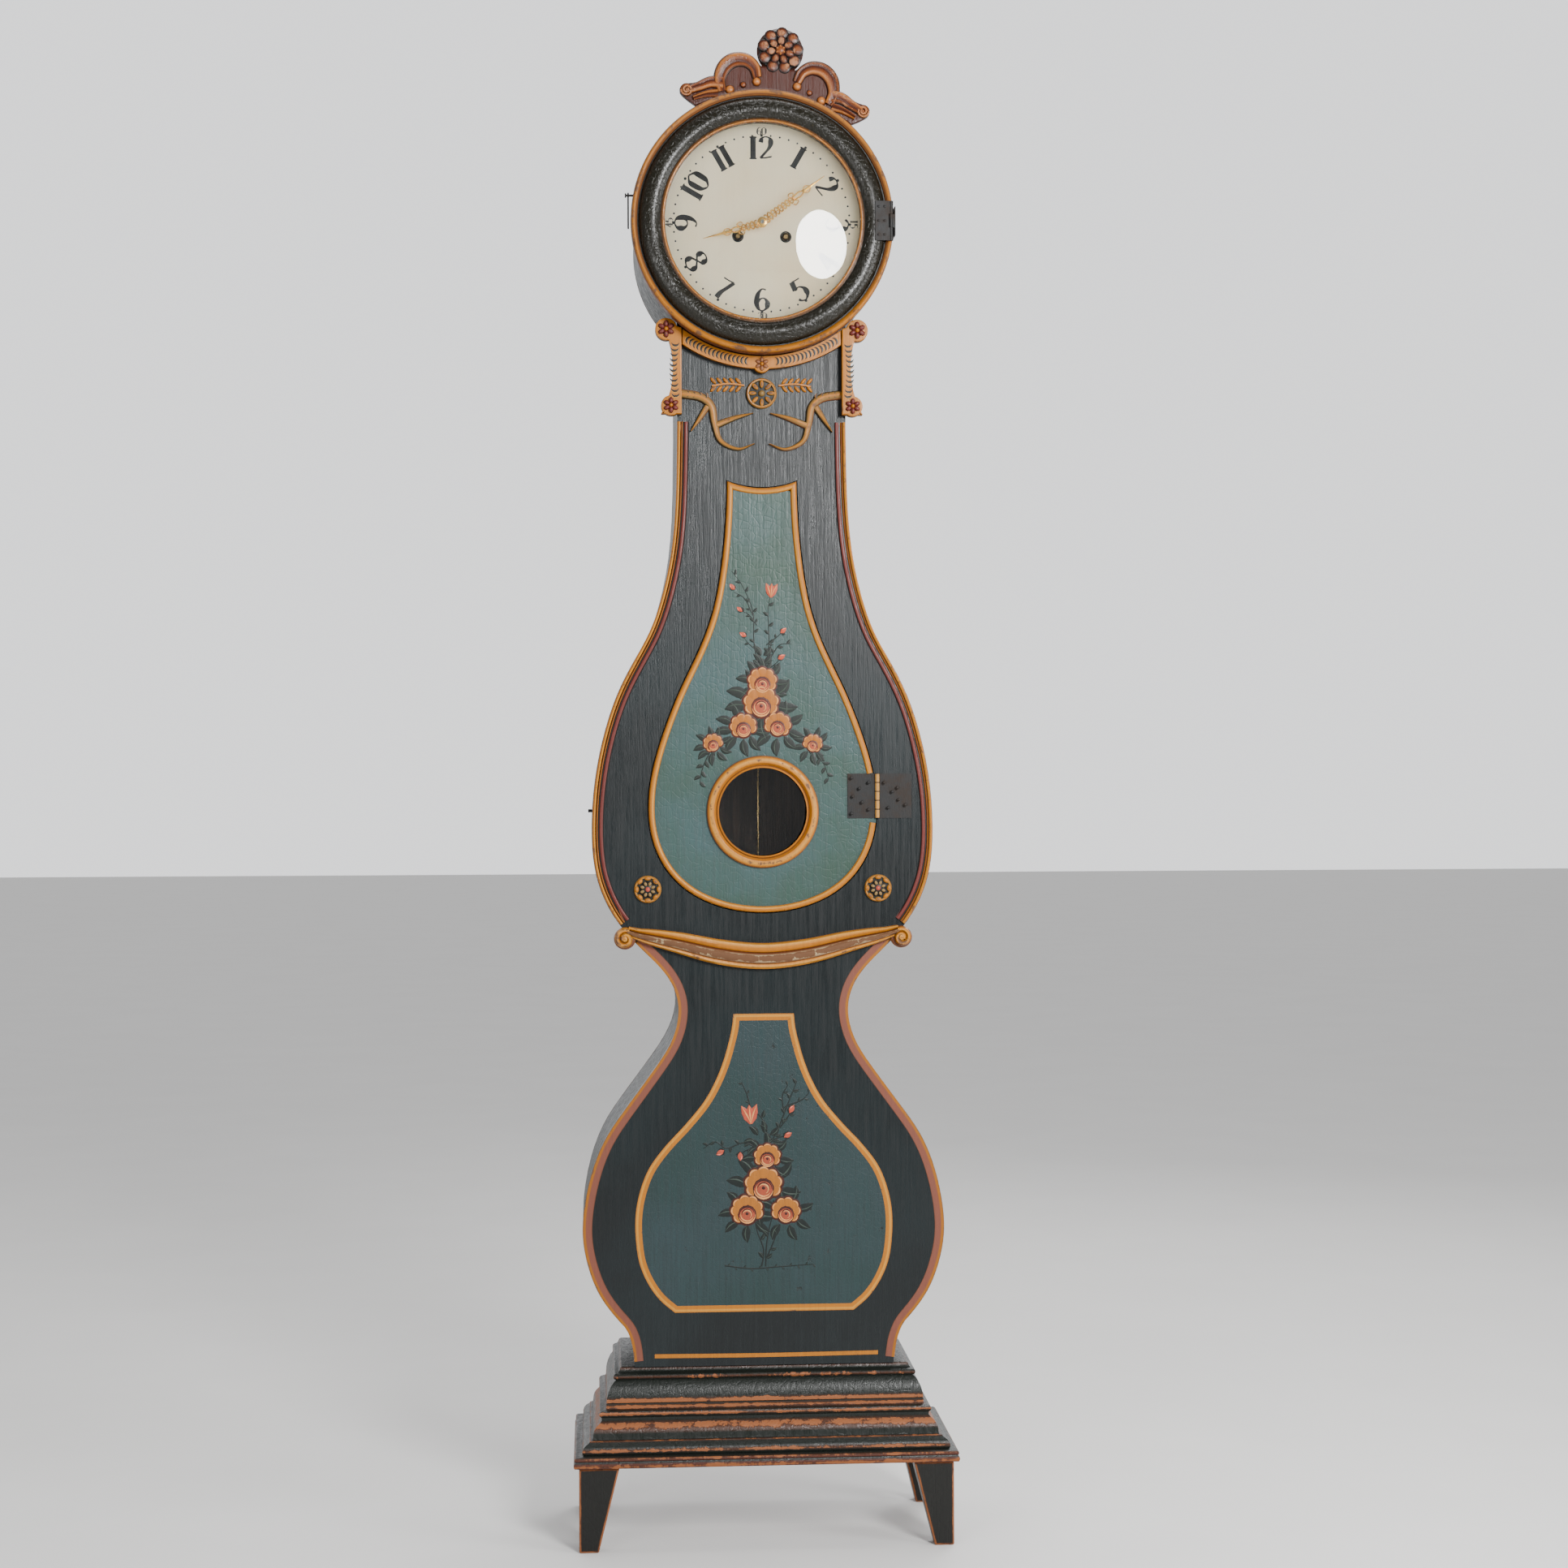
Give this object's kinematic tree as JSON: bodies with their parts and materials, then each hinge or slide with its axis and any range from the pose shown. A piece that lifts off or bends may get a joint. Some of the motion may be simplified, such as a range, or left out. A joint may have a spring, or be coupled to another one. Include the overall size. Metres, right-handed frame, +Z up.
{
  "type": "longcase clock",
  "caption": "Tall weight-driven pendulum clock: pear-shaped painted trunk on a stepped plinth with legs, round glazed hood, opening doors and a geared movement.",
  "frame": {"origin": "on the floor, at the middle of the box round the clock", "axes": "+X to the right as seen from the front, +Y to the back, +Z up along the clock's height"},
  "size_m": [0.576, 0.285, 2.2824],
  "materials": {
    "case_paint": "old satin oil paint, near-black blue-green, brushed",
    "back_wood": "bare aged pine",
    "edge_gold": "painted ochre, gold and red-brown reeds",
    "swag_gold": "worn gold and whitish paint",
    "carving_gold": "orange-gold paint with dark hatching",
    "crest_wood": "red-brown carved wood, satin",
    "plinth_paint": "dark green-black paint worn to orange-brown on the edges",
    "plinth_edge": "worn reddish paint",
    "leg_paint": "black paint worn to orange wood on the edges",
    "door_panel": "teal paint with fine craquelure and painted flowers",
    "door_gold": "worn gold paint",
    "hood_brown": "red-brown lacquer with an ochre fillet",
    "hood_dark": "glossy dark green-black crackled paint",
    "pane": "clear old glass",
    "hinge_iron": "blackened forged iron",
    "hook_iron": "dull bent wire",
    "dial_paint": "cream enamel paint, yellowed and worn",
    "hand_brass": "polished brass",
    "movement_brass": "lacquered brass",
    "arbor_steel": "turned steel",
    "bell_metal": "cast bell metal",
    "weight_iron": "cast iron, dark",
    "line_gut": "twisted gut line",
    "seat_wood": "bare pine"
  },
  "bodies": {
    "case": {"leg_front_left": "leg_paint", "leg_front_right": "leg_paint", "leg_back_left": "leg_paint", "leg_back_right": "leg_paint", "plinth_slab": "plinth_edge", "plinth_lower_moulding": "plinth_paint", "plinth_upper_moulding": "plinth_paint", "lower_front_board": "case_paint", "back_board": "back_wood", "lower_side_right": "case_paint", "lower_side_left": "case_paint", "upper_side_right": "case_paint", "upper_side_left": "case_paint", "upper_front_board": "case_paint", "edge_moulding_right": "edge_gold", "edge_moulding_left": "edge_gold", "swag_moulding": "swag_gold", "belly_rosettes": "carving_gold", "neck_carving": "carving_gold", "bracket_left": "carving_gold", "bracket_right": "carving_gold", "frieze": "carving_gold", "trunk_case_leaf": "hinge_iron", "hood_drum": "case_paint", "hood_back": "back_wood", "hood_moulding": "hood_brown", "hood_case_leaf": "hinge_iron", "hook_screw_and_peg": "hook_iron", "crest": "crest_wood", "front_plate": "movement_brass", "back_plate": "movement_brass", "dial": "dial_paint", "bell": "bell_metal", "seat_board": "seat_wood", "going_line": "line_gut", "strike_line": "line_gut"},
    "hood_door": {"hood_door_ring": "hood_dark", "hood_glass": "pane", "hood_door_leaf": "hinge_iron"},
    "trunk_door": {"trunk_door_board": "door_panel", "trunk_door_moulding": "door_gold", "porthole_ring": "door_gold", "porthole_glass": "pane", "trunk_door_leaf": "hinge_iron"},
    "hook": {"hood_hook": "hook_iron"},
    "minute": {"centre_arbor": "arbor_steel", "minute_hand": "hand_brass"},
    "hour": {"hour_wheel": "movement_brass", "hour_hand": "hand_brass"},
    "motion_wheel": {"minute_wheel": "movement_brass"},
    "great_wheel": {"going_great_wheel": "movement_brass"},
    "third": {"third_wheel": "movement_brass"},
    "escape": {"escape_wheel": "movement_brass"},
    "going_drum": {"going_barrel": "movement_brass"},
    "strike_drum": {"strike_barrel": "movement_brass"},
    "anchor_body": {"anchor": "arbor_steel"},
    "pendulum_body": {"pendulum": "movement_brass"},
    "going_weight_body": {"going_weight": "weight_iron"},
    "strike_weight_body": {"strike_weight": "weight_iron"},
    "hammer_body": {"hammer": "arbor_steel"}
  },
  "joints": [
    {"name": "hood_door_swing", "type": "hinge", "parent": "case", "child": "hood_door", "pos_m": [0.192, -0.1305, 1.982], "axis": [0, 0, 1], "range_deg": [0, 110]},
    {"name": "trunk_door_swing", "type": "hinge", "parent": "case", "child": "trunk_door", "pos_m": [0.1736, -0.0792, 1.1216], "axis": [0, 0, 1], "range_deg": [0, 110]},
    {"name": "hood_hook_turn", "type": "hinge", "parent": "case", "child": "hook", "pos_m": [-0.2005, -0.109, 2.02], "axis": [-1, 0, 0], "range_deg": [0, 95]},
    {"name": "minute_hand_turn", "type": "hinge", "parent": "case", "child": "minute", "pos_m": [0, -0.1, 1.982], "axis": [0, 1, 0], "continuous": true},
    {"name": "hour_hand_turn", "type": "hinge", "parent": "case", "child": "hour", "pos_m": [0, -0.1, 1.982], "axis": [0, 1, 0], "continuous": true},
    {"name": "minute_wheel_turn", "type": "hinge", "parent": "case", "child": "motion_wheel", "pos_m": [0, -0.05, 1.952], "axis": [0, 1, 0], "continuous": true},
    {"name": "great_wheel_turn", "type": "hinge", "parent": "case", "child": "great_wheel", "pos_m": [0.036, -0.0375, 1.9625], "axis": [0, 1, 0], "continuous": true},
    {"name": "third_wheel_turn", "type": "hinge", "parent": "case", "child": "third", "pos_m": [-0.0235, -0.01, 2.0043], "axis": [0, 1, 0], "continuous": true},
    {"name": "escape_wheel_turn", "type": "hinge", "parent": "case", "child": "escape", "pos_m": [0, -0.01, 2.018], "axis": [0, 1, 0], "continuous": true},
    {"name": "going_weight_drop", "type": "slide", "parent": "case", "child": "going_weight_body", "axis": [0, 0, -1], "range_m": [0, 1.05], "deforming": ["going_line"]},
    {"name": "strike_weight_drop", "type": "slide", "parent": "case", "child": "strike_weight_body", "axis": [0, 0, -1], "range_m": [0, 1.05], "deforming": ["strike_line"]},
    {"name": "going_barrel_turn", "type": "hinge", "parent": "case", "child": "going_drum", "pos_m": [0.036, -0.01, 1.9625], "axis": [0, 1, 0], "range_deg": [0, 5125]},
    {"name": "strike_barrel_turn", "type": "hinge", "parent": "case", "child": "strike_drum", "pos_m": [-0.036, -0.01, 1.9625], "axis": [0, 1, 0], "range_deg": [-5125, 0]},
    {"name": "pendulum_swing", "type": "hinge", "parent": "case", "child": "pendulum_body", "pos_m": [0, 0.045, 2.044], "axis": [0, 1, 0], "range_deg": [-3, 3]},
    {"name": "anchor_swing", "type": "hinge", "parent": "case", "child": "anchor_body", "pos_m": [0, 0, 2.044], "axis": [0, 1, 0], "range_deg": [-3, 3]},
    {"name": "hammer_swing", "type": "hinge", "parent": "case", "child": "hammer_body", "pos_m": [-0.015, 0.02, 2.04], "axis": [0, 1, 0], "range_deg": [-12, 0], "stiffness_Nm_per_rad": 0.02, "springref_deg": 2.86}
  ],
  "couplings": [
    {"joint": "hour_hand_turn", "follows": "minute_hand_turn", "ratio": 0.083333},
    {"joint": "minute_wheel_turn", "follows": "minute_hand_turn", "ratio": -0.33333},
    {"joint": "great_wheel_turn", "follows": "minute_hand_turn", "ratio": -0.083333},
    {"joint": "third_wheel_turn", "follows": "minute_hand_turn", "ratio": -8},
    {"joint": "escape_wheel_turn", "follows": "minute_hand_turn", "ratio": 60},
    {"joint": "going_barrel_turn", "follows": "going_weight_drop", "rad_per_m": 85.106},
    {"joint": "strike_barrel_turn", "follows": "strike_weight_drop", "rad_per_m": -85.106},
    {"joint": "anchor_swing", "follows": "pendulum_swing", "ratio": 1}
  ]
}
